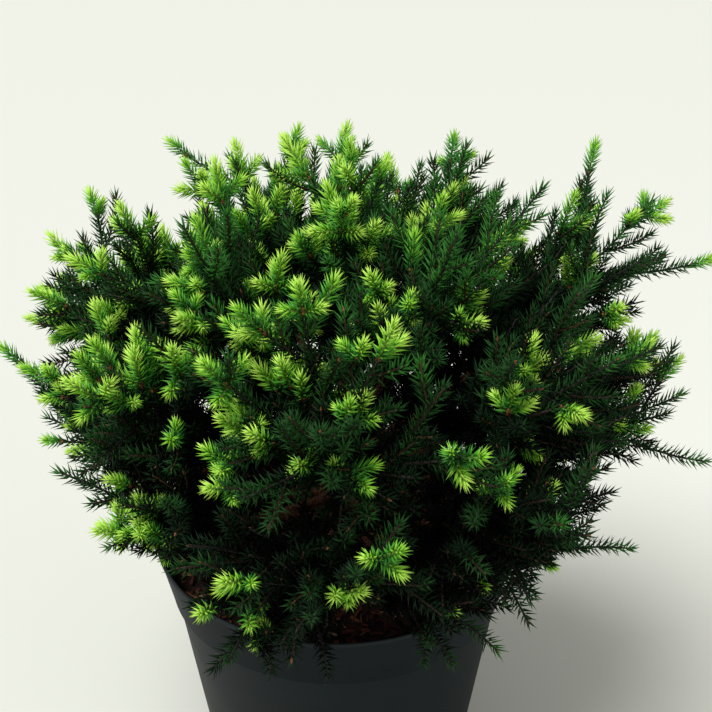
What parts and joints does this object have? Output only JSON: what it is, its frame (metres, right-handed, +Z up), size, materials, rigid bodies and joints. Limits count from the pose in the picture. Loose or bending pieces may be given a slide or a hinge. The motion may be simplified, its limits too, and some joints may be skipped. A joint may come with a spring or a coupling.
{
  "type": "potted dwarf norway spruce",
  "caption": "Dwarf Norway spruce with a broad dense dome of needled shoots and fresh spring growth, in a plain round dark nursery pot",
  "frame": {"origin": "middle of the pot's flat underside", "axes": "+Z up along the pot's axis, -Y towards the front of the plant, +X to the right seen from the front"},
  "size_m": [0.4533, 0.4142, 0.4323],
  "materials": {
    "pot_plastic": "matte moulded charcoal polypropylene with a fine texture",
    "bark_mulch": "fine shredded bark over potting mix",
    "trunk_bark": "thin scaly grey-brown bark",
    "bough_bark": "thin orange-brown bark with needle pegs",
    "spruce_needles": "dark green needles with lime-green new shoots"
  },
  "bodies": {
    "root": {"pot": "pot_plastic", "soil": "bark_mulch", "trunk": "trunk_bark", "bough_skirt_1": "bough_bark", "bough_skirt_2": "bough_bark", "bough_skirt_3": "bough_bark", "bough_skirt_4": "bough_bark", "bough_skirt_5": "bough_bark", "bough_skirt_6": "bough_bark", "bough_skirt_7": "bough_bark", "bough_skirt_8": "bough_bark", "bough_lower_1": "bough_bark", "bough_lower_2": "bough_bark", "bough_lower_3": "bough_bark", "bough_lower_4": "bough_bark", "bough_lower_5": "bough_bark", "bough_lower_6": "bough_bark", "bough_lower_7": "bough_bark", "bough_lower_8": "bough_bark", "bough_middle_1": "bough_bark", "bough_middle_2": "bough_bark", "bough_middle_3": "bough_bark", "bough_middle_4": "bough_bark", "bough_middle_5": "bough_bark", "bough_middle_6": "bough_bark", "bough_middle_7": "bough_bark", "bough_upper_1": "bough_bark", "bough_upper_2": "bough_bark", "bough_upper_3": "bough_bark", "bough_upper_4": "bough_bark", "foliage_skirt_1": "spruce_needles", "foliage_skirt_2": "spruce_needles", "foliage_skirt_3": "spruce_needles", "foliage_skirt_4": "spruce_needles", "foliage_skirt_5": "spruce_needles", "foliage_skirt_6": "spruce_needles", "foliage_skirt_7": "spruce_needles", "foliage_skirt_8": "spruce_needles", "foliage_lower_1": "spruce_needles", "foliage_lower_2": "spruce_needles", "foliage_lower_3": "spruce_needles", "foliage_lower_4": "spruce_needles", "foliage_lower_5": "spruce_needles", "foliage_lower_6": "spruce_needles", "foliage_lower_7": "spruce_needles", "foliage_lower_8": "spruce_needles", "foliage_middle_1": "spruce_needles", "foliage_middle_2": "spruce_needles", "foliage_middle_3": "spruce_needles", "foliage_middle_4": "spruce_needles", "foliage_middle_5": "spruce_needles", "foliage_middle_6": "spruce_needles", "foliage_middle_7": "spruce_needles", "foliage_upper_1": "spruce_needles", "foliage_upper_2": "spruce_needles", "foliage_upper_3": "spruce_needles", "foliage_upper_4": "spruce_needles", "foliage_leader_1": "spruce_needles"}
  },
  "joints": []
}
